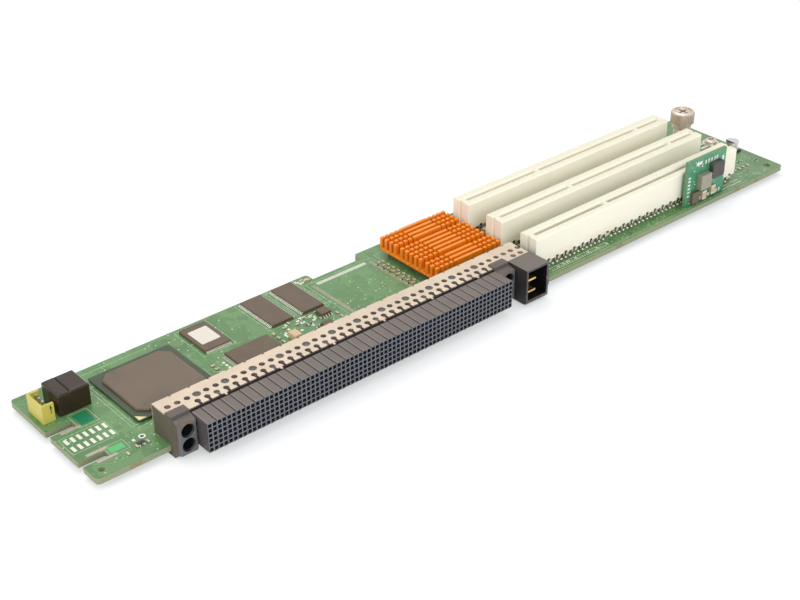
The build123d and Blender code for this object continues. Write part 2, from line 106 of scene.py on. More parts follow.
class Shade:
    """One output of a material's nodes, so that masks and sums read as plain maths."""

    def __init__(self, tree, socket=None):
        self.tree = tree
        self.socket = socket

    def node(self, kind, settings=None, inputs=None, output=0):
        made = self.tree.nodes.new("ShaderNode" + kind)
        for name, value in (settings or {}).items():
            setattr(made, name, value)
        for name, value in (inputs or {}).items():
            if isinstance(value, Shade):
                self.tree.links.new(value.socket, made.inputs[name])
            else:
                made.inputs[name].default_value = value
        return Shade(self.tree, made.outputs[output])

    def __rsub__(self, other):
        return self.node("Math", {"operation": "SUBTRACT"}, {0: other, 1: self})

    __add__ = __radd__ = maths("ADD")
    __sub__ = maths("SUBTRACT")
    __mul__ = __rmul__ = maths("MULTIPLY")
    __lt__ = maths("LESS_THAN")
    __gt__ = maths("GREATER_THAN")
    __abs__ = maths("ABSOLUTE")
    either = maths("MAXIMUM")
    power = maths("POWER")
    fraction = maths("FRACT")

    def place(self):
        """The place on the piece, in its own coordinates."""
        return self.node("TexCoord", output=3)

    def axes(self):
        """X, Y and Z of that place, in metres."""
        return [self.place().part(index) for index in range(3)]

    def part(self, index):
        """X, Y or Z of a place or a direction, as 0, 1 or 2."""
        return self.node("SeparateXYZ", None, {0: self}, index)

    def facing(self, index):
        """How far the surface faces along X, Y or Z, from -1 to 1."""
        return self.node("NewGeometry", output=1).part(index)

    def noise(self, size, detail=3.0, rough=0.55):
        """Cloudy noise from 0 to 1, its lumps of that size in mm."""
        return self.node("TexNoise", None, {"Vector": self.place(), "Scale": 1000 / size,
                                            "Detail": detail, "Roughness": rough})

    def blend(self, mask, *colours):
        """The first colour where mask is 0, the second where it is 1: a Shade, a socket's
        four values, or red, green and blue as they are read off a screen."""
        first, second = [tuple((part / 255) ** 2.2 for part in colour) + (1.0,)
                         if isinstance(colour, tuple) and len(colour) == 3 else colour
                         for colour in colours]
        return self.node("Mix", {"data_type": "RGBA"}, {0: mask, 6: first, 7: second}, 2)


def new_finish(name, **fixed):
    """An empty finish: the material and a Shade to build on."""
    finish = bpy.data.materials.new(name)
    finish.use_nodes = True
    shader = finish.node_tree.nodes["Principled BSDF"]
    for socket, value in fixed.items():
        shader.inputs[socket.replace("_", " ").title().replace("Ior", "IOR")].default_value = value
    return finish, Shade(finish.node_tree)


def feed(shade, colour, rough=None, height=None, lift=0.02, metal=None):
    """Joins colour, roughness, a height in mm and metalness to the finish's shader."""
    shader = shade.tree.nodes["Principled BSDF"]
    bump = height and shade.node("Bump", None, {"Strength": 0.6, "Distance": lift / 1000, "Height": height})
    fed = {"Base Color": colour, "Roughness": rough, "Metallic": metal, "Normal": bump}
    for socket, value in fed.items():
        if value:
            shade.tree.links.new(value.socket, shader.inputs[socket])


def plain_finish(name, tone, other, patch, rough, spread, grain, lift=0.02, **fixed):
    """A finish of one tone that drifts to another in patches, with a fine grain and an uneven gloss."""
    finish, shade = new_finish(name, **fixed)
    drift = shade.noise(patch)
    fine = shade.noise(grain, 2.0)
    feed(shade, shade.blend(drift, tone, other), rough + spread * (drift - 0.5), fine, lift)
    return finish


floor_size = 6.0
bpy.ops.mesh.primitive_plane_add(size=floor_size, location=(0, 0, -0.0001))
floor = bpy.context.object
floor.name = "table_top"
finish, shade = new_finish("pale_table", roughness=0.9, specular_ior_level=0.0)
floor_glow = 0.42
seen = shade.node("LightPath", output="Is Camera Ray")
feed(shade, shade.blend(shade.noise(60), (0.86, 0.87, 0.88, 1), (0.88, 0.88, 0.88, 1)))
shader = shade.tree.nodes["Principled BSDF"]
shader.inputs["Emission Color"].default_value = (1, 1, 1, 1)
lit = shade.node("Emission", None, {"Color": (1, 1, 1, 1), "Strength": 1.0})
glow = shade.node("MixShader", None, {0: seen * floor_glow, 1: Shade(shade.tree, shader.outputs[0]), 2: lit})
shade.tree.links.new(glow.socket, shade.tree.nodes["Material Output"].inputs["Surface"])
floor.data.materials.append(finish)

world = bpy.data.worlds.new("studio")
bpy.context.scene.world = world
world.use_nodes = True
sky = Shade(world.node_tree)
air = world.node_tree.nodes["Background"]
air.inputs["Color"].default_value = (0.97, 0.985, 1, 1)
air.inputs["Strength"].default_value = 0.9
seen, glossy, through = [sky.node("LightPath", output=f"Is {kind} Ray")
                         for kind in ("Camera", "Glossy", "Transmission")]
backdrop = sky.node("Background", None, {"Color": (1, 1, 1, 1), "Strength": 1.0})
plain = Shade(world.node_tree, air.outputs[0])
both = sky.node("MixShader", None, {0: seen.either(glossy).either(through), 1: plain, 2: backdrop})
world.node_tree.links.new(both.socket, world.node_tree.nodes["World Output"].inputs["Surface"])


# Riser board.  A thick laminate with green mask over copper on both faces and a
# pale glass-fibre edge, its traces and vias showing through the mask.
MM = 0.001
board_low, board_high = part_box("riser_board")
left_edge = -37.0
back_edge = 72.9
board_face = 0.45
board_under = -1.91
origin = Vector((board_low.x - left_edge * MM, board_high.y - back_edge * MM,
                 board_high.z - board_face * MM))


def at(x, y, z):
    """A point in mm from the backplane connector's lower front left corner."""
    return origin + Vector((x, y, z)) * MM


def lines(along, pitch, width):
    """Bands of that width, in mm, repeated along a coordinate in metres."""
    return abs((along * (1 / (pitch * MM))).fraction() - 0.5) < width / pitch / 2


def green_mask(name, dark, light, copper, cut, upright=False, zone_size=13.0):
    """Green mask over traces and vias, with the laminate's layers on its cut edges."""
    finish, shade = new_finish(name, coat_weight=0.25, coat_roughness=0.25)
    place = shade.place()
    across, depth, height = shade.axes()
    second = height if upright else depth
    through = depth if upright else height
    zones = shade.node("TexVoronoi", {"distance": "CHEBYCHEV"},
                       {"Vector": place, "Scale": 1000 / zone_size, "Randomness": 0.85}, 1)
    pick = shade.node("SeparateColor", None, {0: zones}, 0)
    crowd = shade.node("SeparateColor", None, {0: zones}, 1)
    along = lines(second, 0.8, 0.26) * (pick < 0.38)
    upward = lines(across, 0.8, 0.26) * (pick > 0.38) * (pick < 0.6)
    slanted = lines(across + second, 1.15, 0.36) * (pick > 0.6) * (pick < 0.78)
    traces = along.either(upward).either(slanted) * (shade.noise(7.0) > 0.47)
    cells = {"Vector": place, "Scale": 1000 / 1.9, "Randomness": 0.9}
    spots = shade.node("TexVoronoi", None, cells, 0)
    chosen = shade.node("SeparateColor", None, {0: shade.node("TexVoronoi", None, cells, 1)}, 0)
    vias = (spots < 0.17) * (chosen > 0.5) * (crowd > 0.35)
    facing = abs(shade.facing(1 if upright else 2)) > 0.6
    body = shade.blend(shade.noise(45.0), dark, light)
    body = shade.blend(0.35 * (shade.noise(11.0) > 0.52), body, light)
    body = shade.blend(traces * 0.7, body, copper)
    body = shade.blend(vias * 0.8, body, (206, 214, 190))
    layers = lines(through, 0.42, 0.12)
    edge = shade.blend(layers * 0.6, *cut)
    edge = shade.blend(shade.noise(1.2) * 0.5, edge, (144, 144, 112))
    feed(shade, shade.blend(facing, edge, body),
         0.36 + 0.16 * (shade.noise(9.0) - 0.5) + 0.35 * (1.0 - facing),
         traces * 0.6 + vias * 0.8 + 0.1 * shade.noise(0.35), 0.03)
    return finish


board_green = green_mask("green_laminate", (62, 96, 54), (88, 128, 76), (122, 158, 104),
                         ((124, 130, 98), (82, 102, 68)))


weld_gap = 0.00001
sharp_angle = 35


def dress(name, finish, width=0, segments=2):
    """Gives a node of the frame its finish, and softens its sharp edges by a width in mm."""
    piece = nodes[name]
    for slot in piece.material_slots:
        slot.material = finish
    if not piece.material_slots:
        piece.data.materials.append(finish)
    if width:
        weld = piece.modifiers.new("weld", "WELD")
        weld.merge_threshold = weld_gap
        bevel = piece.modifiers.new("ease", "BEVEL")
        bevel.width = width * MM
        bevel.segments = segments
        bevel.limit_method = "ANGLE"
        bevel.angle_limit = math.radians(sharp_angle)


dress("riser_board", board_green)
nib_spots = [(x, 12.1) for x in (-23.6, -22.4, -21.2, -20)]
nib_spots += [(x, 5.8) for x in (168.4, 170.2, 211.6, 213.2, 214.8, 291.6, 293.2, 306)]


# Solder pads.  Bright tin on bare copper where no part is fitted: the header's
# two rows, the clip strips beside the slots and the rows round an empty place.
def done():
    bpy.ops.object.mode_set(mode="OBJECT")


def clear(*pieces):
    """Leaves edit mode, with only these pieces chosen and the first of them active."""
    if bpy.context.object and bpy.context.object.mode != "OBJECT":
        done()
    bpy.ops.object.select_all(action="DESELECT")
    for piece in pieces:
        piece.select_set(True)
        bpy.context.view_layer.objects.active = pieces[0]


def slab(name, low, high):
    """A block between two corners given as (x, y, z) in mm."""
    clear()
    low, high = at(*low), at(*high)
    bpy.ops.mesh.primitive_cube_add(size=1, location=(low + high) / 2)
    piece = bpy.context.object
    piece.name = name
    piece.scale = high - low
    bpy.ops.object.transform_apply()
    return piece


def disc(name, x, y, z0, z1, radius, sides=20):
    """A short upright cylinder, its sizes in mm."""
    clear()
    bpy.ops.mesh.primitive_cylinder_add(vertices=sides, radius=radius * MM, depth=(z1 - z0) * MM,
                                        location=at(x, y, (z0 + z1) / 2))
    piece = bpy.context.object
    piece.name = name
    bpy.ops.object.transform_apply()
    return piece


def every_one(middle, way):
    return True


def top_face(middle, way):
    return way.z > 0.9


def bottom_face(middle, way):
    return way.z < -0.9


def choose(piece, test=every_one, kind="FACE"):
    """Enters edit mode with only the faces or edges selected whose middle and direction pass the test."""
    clear(piece)
    bpy.ops.object.mode_set(mode="EDIT")
    bpy.ops.mesh.select_mode(type=kind)
    bpy.ops.mesh.select_all(action="DESELECT")
    done()
    mesh = piece.data
    if kind == "FACE":
        for face in mesh.polygons:
            face.select = bool(test((face.center - origin) / MM, face.normal))
    else:
        for edge in mesh.edges:
            ends = [mesh.vertices[index].co for index in edge.vertices]
            middle = ((ends[0] + ends[1]) / 2 - origin) / MM
            edge.select = bool(test(middle, (ends[1] - ends[0]).normalized()))
    bpy.ops.object.mode_set(mode="EDIT")


def pull(x, y, z):
    """Draws new faces out of the chosen ones, by that much in mm."""
    bpy.ops.mesh.extrude_region_move(TRANSFORM_OT_translate={"value": (x * MM, y * MM, z * MM)})


def inset(width, depth=0, **kept):
    """Sets the chosen faces in from their edges by a width and lifts them, in mm."""
    bpy.ops.mesh.inset(thickness=width * MM, depth=depth * MM, **kept)


def ease(piece, width, segments=1, test=every_one):
    choose(piece, test, "EDGE")
    bpy.ops.mesh.bevel(offset=width * MM, segments=segments, clamp_overlap=True)
    done()
    return piece


def joined(pieces, name):
    """Makes one piece of several, its place in its mesh."""
    clear(*pieces)
    if len(pieces) > 1:
        bpy.ops.object.join()
    piece = bpy.context.object
    bpy.ops.object.transform_apply()
    piece.name = name
    return piece


def copies(piece, places, name, drop=0):
    """The piece, made at the corner that at() counts from, at each (x, y) or (x, y, turn in degrees)
    and that much lower in mm."""
    made = []
    for x, y, *turned in places:
        twin = piece.copy()
        twin.data = piece.data.copy()
        turn = math.radians(turned[0]) if turned else 0.0
        twin.rotation_euler = (0, 0, turn)
        whirled = Vector((origin.x * math.cos(turn) - origin.y * math.sin(turn),
                          origin.x * math.sin(turn) + origin.y * math.cos(turn), origin.z))
        twin.location = origin - whirled + Vector((x, y, -drop)) * MM
        bpy.context.collection.objects.link(twin)
        made.append(twin)
    bpy.data.objects.remove(piece)
    return joined(made, name)


def row(x, y, right, back, count, turn=0):
    """Places in a row: the first one, the step to the next along X and Y, and how many."""
    return [(x + index * right, y + index * back, turn) for index in range(count)]


def coat(piece, *finishes):
    """Adds finishes to a piece, the first for its faces so far."""
    for finish in finishes:
        piece.data.materials.append(finish)


def fit(piece, finish, body="card", slot=None, stands_for=()):
    """Gives a finished piece its material and its body, and hides the nodes of the frame that it stands for.
    """
    if finish:
        piece.data.materials.clear()
        coat(piece, finish)
    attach(piece, body)
    if stands_for:
        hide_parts(*stands_for)


def tin(piece, finish, **kept):
    """Fits a piece of tinned or gold-plated metal."""
    fit(piece, finish, slot="tinned_metal", **kept)


def brushed_metal(name, tone, other, rough, stretch=(1, 12, 12)):
    """Bare metal whose gloss is drawn out in fine streaks."""
    finish, shade = new_finish(name, metallic=1.0)
    drawn = shade.node("Mapping", None, {"Vector": shade.place(), "Scale": stretch})
    streak = shade.node("TexNoise", None, {"Vector": drawn, "Scale": 260.0, "Detail": 4.0})
    cloud = shade.noise(12.0)
    feed(shade, shade.blend(cloud, tone, other), rough + 0.25 * (streak - 0.5) + 0.1 * cloud,
         streak, 0.01)
    return finish


tinned = brushed_metal("tinned_metal", (196, 196, 190), (222, 220, 210), 0.36, (3, 3, 3))
solder = plain_finish("solder_tin", (206, 206, 190), (228, 226, 214), 1.5, 0.4, 0.2, 0.3, metallic=0.4)
pad_rise = 0.05


def pad(width, length):
    """One pad, centred on the corner that at() counts from, with its rim eased."""
    piece = slab("pad", (-width / 2, -length / 2, board_face), (width / 2, length / 2, board_face + pad_rise))
    return ease(piece, 0.02)


header_pads = copies(pad(1.25, 3.2), row(-34.3, 37.2, 2.54, 0, 7) + row(-34.3, 32.1, 2.54, 0, 7),
                     "header_pads")
tin(header_pads, solder)
dull_tin = plain_finish("dull_tin", (158, 146, 128), (182, 170, 154), 1.5, 0.42, 0.2, 0.3, metallic=0.4)
strips = copies(pad(8, 1.3), [(-29, 25.9), (-28, 20.4), (-29.4, 42.7)], "clip_strips")
tin(strips, dull_tin)
fine_pitch = 0.5
fine_pad = pad(0.3, 1.7)
around = row(94.2, 33.5, 0, fine_pitch, 62, 90) + row(124, 33.5, 0, fine_pitch, 62, 90)
tin(copies(fine_pad, around, "empty_place_sides"), dull_tin)
behind = row(96.5, 64.2, fine_pitch, 0, 51)
tin(copies(pad(0.34, 1.9), behind, "empty_place_back"), solder)
loose = random.Random(11)


def strewn(draw, left, right, front, back, count, turned=True):
    """Chance places in a field, lying along X or, if turned, along X or Y."""
    return [(draw.uniform(left, right), draw.uniform(front, back), draw.choice((0, 90)) if turned else 0)
            for index in range(count)]


spots = [(-16, 23), (35, 42), (35, 40), (35, 38), (35, 36), (35, 34)]
spots += strewn(loose, 62, 90, 40.5, 48, 22) + strewn(loose, 90, 96, 68.5, 71.5, 6, False)
spots += [(loose.uniform(176, 210), 9.6, 90) for index in range(8)]
tin(copies(pad(1.0, 1.3), spots, "spare_pads"), solder)
ladder = row(176, 8.6, 1.27, 0, 27) + row(176, 10.4, 1.27, 0, 27)
ladder += row(285, 8.6, 1.27, 0, 11) + row(285, 10.6, 1.27, 0, 11)
tin(copies(pad(0.5, 1.0), ladder, "via_ladder"), solder)


def assign(piece, index):
    """Gives the chosen faces the piece's material of that number."""
    piece.active_material_index = index
    bpy.ops.object.material_slot_assign()


# A ring pad whose middle is sunk a little and given a near-black finish, as painted shade for its bore.
ring = disc("ring_pad", -12.5, 23.2, board_face, board_face + pad_rise, 1.3, 24)
choose(ring, top_face)
inset(0.6)
pull(0, 0, -0.04)
coat(ring, solder, plain_finish("ring_bore_shade", (30, 34, 26), (44, 48, 38), 1.0, 0.8, 0.1, 0.2))
assign(ring, 1)
done()
fit(ring, None)


# Break-off nibs.  Rough stubs along the front edge where the card was snapped
# from its panel.
nib = slab("nib", (-0.25, -0.22, board_under + 0.15), (0.25, 0.1, board_face - 0.1))
ease(nib, 0.08)
nib_brown = plain_finish("torn_laminate", (120, 102, 66), (150, 132, 92), 0.8, 0.8, 0.1, 0.15, 0.05)
fit(copies(nib, nib_spots, "edge_nibs"), nib_brown)


# Mask windows and white print.  Two brighter green fields beside the clip slots
# and the thin white outlines that mark where parts sit; the print has no words.
window_dark = plain_finish("window_dark", (26, 104, 72), (34, 118, 84), 2.0, 0.3, 0.1, 0.3)
window_light = plain_finish("window_light", (76, 158, 92), (88, 170, 104), 2.0, 0.3, 0.1, 0.3)
for name, low, high, finish in (("window_back", (-25.2, 42.6), (-19.6, 49.6), window_dark),
                                ("window_front", (-25.6, 21.6), (-19.8, 25.0), window_light)):
    piece = slab(name, (*low, board_face), (*high, board_face + 0.03))
    fit(ease(piece, 0.012), finish, slot="green_laminate")
ink = plain_finish("white_print", (168, 192, 160), (192, 208, 184), 1.0, 0.7, 0.2, 0.2, 0.01)
print_rise = 0.025
print_width = 0.13


def stroke(x0, y0, x1, y1):
    """A printed line along X or Y."""
    half = print_width / 2
    piece = slab("stroke", (min(x0, x1) - half, min(y0, y1) - half, board_face),
                 (max(x0, x1) + half, max(y0, y1) + half, board_face + print_rise))
    return ease(piece, 0.01)


def outline(x0, y0, x1, y1):
    return [stroke(x0, y0, x1, y0), stroke(x1, y0, x1, y1), stroke(x1, y1, x0, y1), stroke(x0, y1, x0, y0)]


marks = []
for corners in ((-26.4, 41.6, -18.6, 50.6), (-26.6, 20.4, -18.8, 26.2), (-36.0, 29.4, -18.0, 39.9),
                (32, 50.2, 46.6, 71.2), (61, 48.2, 75.2, 72), (76, 48.2, 90.2, 72),
                (92, 31.4, 126.2, 66.4), (128.6, 28, 168, 67.2), (301.6, 13.6, 308.4, 18.4),
                (310.4, 19.4, 315.4, 23.6), (297.6, 43.6, 308.6, 54.6)):
    marks += outline(*corners)
for ends in ((-12.2, 30, -12.2, 66), (-10.9, 30, -10.9, 66), (-12.2, 30, -8.0, 30), (-10, 69.7, 18, 69.7),
             (-11, 28.4, 27, 28.4), (27, 28.4, 27, 44), (166.6, 6.8, 300, 6.8), (300, 6.8, 300, 21),
             (298.4, 30, 324, 30)):
    marks.append(stroke(*ends))
marks += [stroke(x, 26.6, x, 27.6) for x in range(-14, 150, 9)]
fit(joined(marks, "white_print"), ink)
dash = stroke(-0.35, 0, 0.35, 0)
specks = []
for left, right, front, back, count in ((-34, -8, 16, 70, 60), (28, 126, 29, 70, 130),
                                        (170, 322, 7, 10.8, 70), (299, 323, 16, 70, 70)):
    for index in range(count):
        x, y = loose.uniform(left, right), loose.uniform(front, back)
        open_slot = x < -25.5 and (20.6 < y < 25.3 or 43.0 < y < 47.7)
        open_notch = 96.5 < x < 123.5 and y > 67.4
        if not open_slot and not open_notch:
            specks.append((x, y, loose.choice((0, 90))))
fit(copies(dash, specks, "print_specks"), ink)


# Receptacle wafers.  Thirty-six moulded wafers side by side, each with two
# columns of square contact cavities in its front and a joint line on its top.
wafer_pitch = 4.0
wafer_count = 36
wafer_top = 12.0
wafer_deep = 9.9
wafer_gap = 0.1
mouth_rim = 0.25
mouth_deep = 4.0
seat_front = 11.2
seat_back = 22.2
seat_top = 11.88


def moulding(name, tone, other, joint=None):
    """Dark glass-filled plastic, duller in patches; with a joint colour, a brown joint line on its top, a
    painted ridge highlight, and painted light and shade on front and left faces.
    """
    finish, shade = new_finish(name)
    colour = shade.blend(shade.noise(6.0), tone, other)
    if joint:
        across = shade.place().part(0)
        seam = lines(across - (origin.x + wafer_pitch * MM / 2), wafer_pitch, 0.62)
        # A lighter line beside each joint on the tops, as a painted highlight where a ridge would catch the
        # light.
        ridge_highlight = lines(across - (origin.x + (wafer_pitch / 2 + 0.6) * MM), wafer_pitch, 0.5)
        up = shade.facing(2) > 0.5
        colour = shade.blend(seam * up * (0.45 + 0.5 * shade.noise(4.0)), colour, joint)
        colour = shade.blend(ridge_highlight * up * (0.15 + 0.35 * shade.noise(5.0)), colour, (138, 124, 114))
        # Painted cool light on faces that look to the front, and painted shade on faces that look to the
        # left.
        colour = shade.blend((shade.facing(1) < -0.7) * 0.8, colour, (92, 96, 103))
        colour = shade.blend((shade.facing(0) < -0.7) * 0.8, colour, (62, 57, 62))
    scuffs = shade.noise(1.6, 5.0) > 0.66
    colour = shade.blend(scuffs * 0.22, colour, (150, 142, 138))
    feed(shade, colour, 0.5 + 0.25 * (shade.noise(3.0) - 0.5), shade.noise(0.22, 2.0), 0.03)
    return finish


wafer_moulding = moulding("wafer_polymer", (87, 79, 74), (107, 97, 90), (66, 46, 40))
# The cavities' inner walls and floors get a near-black finish, as painted shade deep in them.
cavity_shade = plain_finish("cavity_shade", (30, 32, 40), (44, 47, 56), 3.0, 0.7, 0.1, 0.3)
clear()
bpy.ops.mesh.primitive_grid_add(x_subdivisions=2, y_subdivisions=6, size=1)
wafer = bpy.context.object
wafer.scale = ((wafer_pitch - wafer_gap) * MM, wafer_top * MM, 1)
wafer.rotation_euler = (math.radians(90), 0, 0)
wafer.location = at(wafer_pitch / 2, 0, wafer_top / 2)
bpy.ops.object.transform_apply()
coat(wafer, wafer_moulding, cavity_shade)
choose(wafer)
inset(mouth_rim, 0, use_individual=True)
pull(0, mouth_deep, 0)
bpy.ops.mesh.select_more()
assign(wafer, 1)
bpy.ops.mesh.select_mode(type="EDGE")
bpy.ops.mesh.select_all(action="DESELECT")
bpy.ops.mesh.select_non_manifold()
pull(0, wafer_deep, 0)
bpy.ops.mesh.edge_face_add()
assign(wafer, 0)
bpy.ops.mesh.select_all(action="SELECT")
bpy.ops.mesh.normals_make_consistent(inside=False)
done()
ease(wafer, 0.2, 1, lambda middle, way: middle.z > wafer_top - 0.01)
side = wafer_gap / 2
rear = slab("rear", (side, seat_front, board_face), (wafer_pitch - side, seat_back, seat_top))
groove = slab("groove", (side, wafer_deep, board_face), (wafer_pitch - side, seat_front, wafer_top - 0.9))
foot = ease(slab("foot", (2.5, 0.1, -0.4), (3.4, 3.0, 0.1)), 0.15)
# A darker copy of the wafer plastic, as painted shade, for the rear seat and the groove under the plate; the
# barbs are given it too.
shaded = plain_finish("shaded_seat_polymer", (48, 42, 40), (60, 53, 50), 4.0, 0.6, 0.1, 0.3)
for part, finish in ((rear, shaded), (groove, shaded), (foot, wafer_moulding)):
    coat(part, finish)
wafer = joined([wafer, rear, groove, foot], "wafer")
wafers = copies(wafer, row(0, 0, wafer_pitch, 0, wafer_count), "receptacle_wafers_dressed")
fit(wafers, None, slot="dark_polymer", stands_for=["receptacle_wafers"])


# Posts and barbs.  The wafers' round posts stand in the plate's large holes and
# small barbs lock over its front edge.
hole_back = 17.1
hole_front = 13.4
first_back = -4.7
first_front = 5.3
plate_under = 11.9
plate_top = 12.4


def taper(piece, test, across, deep):
    """Draws in the faces that pass the test."""
    choose(piece, test)
    bpy.ops.transform.resize(value=(across, deep, 1))
    done()


post_grey = moulding("post_polymer", (74, 72, 72), (96, 92, 90))
post = disc("post", 0, 0, plate_under - 0.3, plate_top - 0.02, 1.38, 18)
choose(post, top_face)
inset(0.42)
pull(0, 0, -0.22)
inset(0.3, 0.16)
done()
post_places = row(first_back + 3 * wafer_pitch, hole_back, 3 * wafer_pitch, 0, 12)
post_places += row(13.3, hole_front - 0.6, 24, 0, 6)
fit(copies(post, post_places, "wafer_posts"), post_grey, slot="dark_polymer")
barb = slab("barb", (-0.5, 11.4, plate_under - 0.5), (0.5, 13.9, plate_top + 0.12))
taper(barb, top_face, 0.7, 0.55)
ease(barb, 0.1)
barb_places = [(first_front + index * wafer_pitch, 0) for index in range(34) if index % 6 != 2]
fit(copies(barb, barb_places, "wafer_barbs"), shaded, slot="dark_polymer")


# Stiffener plate.  Stamped stainless sheet, folded down behind the wafers, with
# a row of punched holes, open notches for the barbs and small cuts at its fold.
stainless = brushed_metal("stainless", (190, 174, 156), (222, 206, 187), 0.46)
plate_left = -7.8
plate_right = 164.2
plate_back = 22.8
plate_thick = 0.5
guide_wide = 7.8
grid_right = 144.0
crown_back = 14.2


def punched(piece, cutters, crossing=False):
    """Cuts the cutters, joined, out of the piece."""
    cutter = joined(cutters, "cutter")
    punch = piece.modifiers.new("punch", "BOOLEAN")
    punch.operation = "DIFFERENCE"
    punch.object = cutter
    punch.solver = "EXACT"
    punch.use_self = crossing
    clear(piece)
    bpy.ops.object.modifier_apply(modifier="punch")
    bpy.data.objects.remove(cutter)


plate = slab("stiffener_plate_dressed", (plate_left, seat_front, plate_under),
             (plate_right, plate_back, plate_top))
choose(plate)
bpy.ops.mesh.bisect(plane_co=at(0, plate_back - plate_thick, 0), plane_no=(0, 1, 0))
done()
choose(plate, lambda middle, way: way.z < -0.9 and middle.y > plate_back - plate_thick)
pull(0, 0, board_face + 0.1 - plate_under)
done()
ease(plate, 0.45, 3, lambda middle, way: middle.y > plate_back - 0.01 and middle.z > plate_top - 0.01)


def hole(x, y, radius):
    return disc("hole", x, y, plate_under - 1, plate_top + 1, radius, 18)


def opening(x0, y0, x1, y1, low=plate_under - 1):
    return slab("opening", (x0, y0, low), (x1, y1, plate_top + 1))


post_hole = 1.55
small_hole = 1.18
hole_count = 43
notch_count = 35
relief_count = 21
relief_pitch = 8.0
relief_wide = 0.9
post_lines = range(3, 37, 3)
cutters = [hole(first_back + index * wafer_pitch, hole_back, post_hole if index in post_lines else small_hole)
           for index in range(hole_count)]
barb_lines = [first_front + index * wafer_pitch for index in range(notch_count)]
cutters += [hole(x, hole_front + 0.1, 1.15) for x in barb_lines]
relief_rights = [index * relief_pitch for index in range(relief_count)]
cutters += [opening(x - relief_wide, plate_back - 0.9, x, plate_back + 1, plate_top - 0.8)
            for x in relief_rights]
cutters += [hole(x, hole_front, 1.2) for x in (157.3, 161.3)]
cutters += [opening(left, seat_front - 1, left + guide_wide + 0.2, crown_back + 0.1)
            for left in (plate_left - 0.1, grid_right)]
punched(plate, cutters)
punched(plate, [opening(x - 0.6, seat_front - 1, x + 0.6, hole_front) for x in barb_lines])
tab = ease(slab("tab", (-0.45, seat_front - 1.1, plate_under), (0.45, seat_front + 0.1, plate_top)), 0.12)
tabs = copies(tab, row(15.3, 0, 24, 0, 6), "plate_tabs")
plate = joined([plate, tabs], "stiffener_plate_dressed")
fit(plate, stainless, slot="stainless", stands_for=["stiffener_plate"])


# Guide modules.  Solid dark mouldings at both ends of the wafers, each with two
# round bores, opened out at the mouth, that the backplane's guide pins enter.
# The bores are painted near-black inside as painted shade, and the front faces
# take painted cool light.
bore_radius = 2.25
mouth_radius = 2.85
guide_front = 6.0
guide_middles = {"left_guide": -3.95, "right_guide": 147.95}
bore_heights = (2.2, 8.1)
finish, shade = new_finish("guide_polymer")
across, depth, height = shade.axes()
# Painted shade: the bores are painted near-black past their mouths.
painted_bore_shade = None
for x in guide_middles.values():
    for z in bore_heights:
        spot = at(x, 0, z)
        reach = abs(across - spot.x).power(2.0) + abs(height - spot.z).power(2.0)
        inside = reach < ((mouth_radius - 0.15) * MM) ** 2
        painted_bore_shade = painted_bore_shade.either(inside) if painted_bore_shade else inside
painted_bore_shade = painted_bore_shade * (depth > at(0, guide_front + 0.1, 0).y)
tone = shade.blend(shade.noise(6.0), (76, 67, 58), (94, 85, 76))
# Painted cool light on faces that look to the front.
tone = shade.blend((shade.facing(1) < -0.7) * 0.8, tone, (82, 86, 92))
tone = shade.blend((shade.noise(1.6, 5.0) > 0.64) * 0.25, tone, (146, 136, 128))
feed(shade, shade.blend(painted_bore_shade, tone, (22, 21, 24)), 0.5 + 0.25 * (shade.noise(3.0) - 0.5),
     shade.noise(0.22, 2.0), 0.03)
for name, x in guide_middles.items():
    guide = bpy.data.objects.new(name + "_dressed", nodes[name].data.copy())
    bpy.context.collection.objects.link(guide)
    choose(guide)
    bpy.ops.mesh.remove_doubles(threshold=weld_gap)
    done()
    mouths = []
    for z in bore_heights:
        clear()
        bpy.ops.mesh.primitive_cone_add(vertices=36, radius1=(mouth_radius + 0.1) * MM,
                                        radius2=(bore_radius - 0.05) * MM, depth=1.0 * MM,
                                        location=at(x, guide_front + 0.35, z),
                                        rotation=(math.radians(-90), 0, 0))
        mouths.append(bpy.context.object)
    punched(guide, mouths)
    fit(guide, finish, stands_for=[name])


# Power module.  A deeper housing right of the wafers whose mouth, painted near-black
# inside as painted shade, holds two flat gold-plated blades. Its top carries painted
# light and its left side painted shade.
power_low, power_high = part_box("power_module")
power_wall = 0.9
finish, shade = new_finish("power_polymer")
across, depth, height = shade.axes()
across = across - (power_low.x + power_high.x) / 2
depth = depth - power_low.y
height = height - power_low.z
half_mouth = (power_high.x - power_low.x) / 2 - power_wall * MM + 0.0002
# Painted shade: the inside of the mouth is painted near-black.
inside = (abs(across) < half_mouth) * (height < power_high.z - power_low.z - (power_wall - 0.2) * MM)
inside = inside * (height > 0.0025) * (depth > 0.0004) * (depth < 0.0092)
tone = shade.blend(shade.noise(6.0), (54, 50, 48), (70, 65, 62))
# Painted light on the top faces and painted shade on the left faces.
tone = shade.blend((shade.facing(2) > 0.7) * 0.6, tone, (112, 103, 95))
tone = shade.blend((shade.facing(0) < -0.7) * 0.6, tone, (36, 33, 34))
# Pale flecks on the front face: partly wear, partly a painted highlight.
front_wear_and_sheen = (shade.noise(0.9, 4.0) > 0.6) * (depth < 0.0003)
tone = shade.blend(front_wear_and_sheen * 0.3, tone, (170, 168, 166))
feed(shade, shade.blend(inside, tone, (20, 19, 20)), 0.46 + 0.2 * (shade.noise(3.0) - 0.5),
     shade.noise(0.25, 2.0), 0.03)
dress("power_module", finish, 0.45, 3)
ear = ease(slab("power_ear", (164.1, 0.6, 1.4), (165.4, 1.9, 8.6)), 0.35, 2)
fit(ear, finish)
gold = brushed_metal("gold", (214, 178, 96), (236, 204, 128), 0.28, (4, 4, 4))
dress("power_blades", gold)


